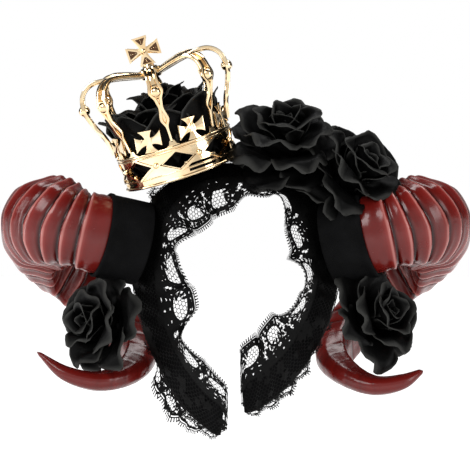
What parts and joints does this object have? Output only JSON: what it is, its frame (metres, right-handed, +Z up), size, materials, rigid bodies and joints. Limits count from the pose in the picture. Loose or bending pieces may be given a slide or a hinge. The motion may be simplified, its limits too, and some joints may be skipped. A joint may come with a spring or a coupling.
{
  "type": "ram horns headband",
  "caption": "Costume headband: a lace-trimmed black band with two ribbed curled horns, a small openwork crown and black fabric roses.",
  "frame": {"origin": "on the band's inner face at its top, in the middle of its width, where it sits on the head", "axes": "+Z up when worn, -Y to the front, +X to the viewer's right in front view"},
  "size_m": [0.3436, 0.1624, 0.292],
  "materials": {
    "band_fabric": "plain matt black woven cloth",
    "lace": "black floral net lace",
    "petal_fabric": "black satin petals, slightly frayed and rolled at the edge",
    "horn_plastic": "glossy dark red moulded plastic",
    "gold_plastic": "moulded plastic with a bright pale gold metallised coat"
  },
  "bodies": {
    "root": {"headband": "band_fabric", "sleeve_left": "band_fabric", "sleeve_right": "band_fabric", "lace_front": "lace", "lace_rear_left": "lace", "lace_rear_top": "lace", "lace_rear_right": "lace", "horn_left": "horn_plastic", "horn_right": "horn_plastic", "crown_circlet": "gold_plastic", "crown_arches": "gold_plastic", "crown_cross": "gold_plastic", "crown_rose": "petal_fabric", "rose_top_inner": "petal_fabric", "rose_top_outer": "petal_fabric", "rose_left": "petal_fabric", "rose_right": "petal_fabric"}
  },
  "joints": []
}
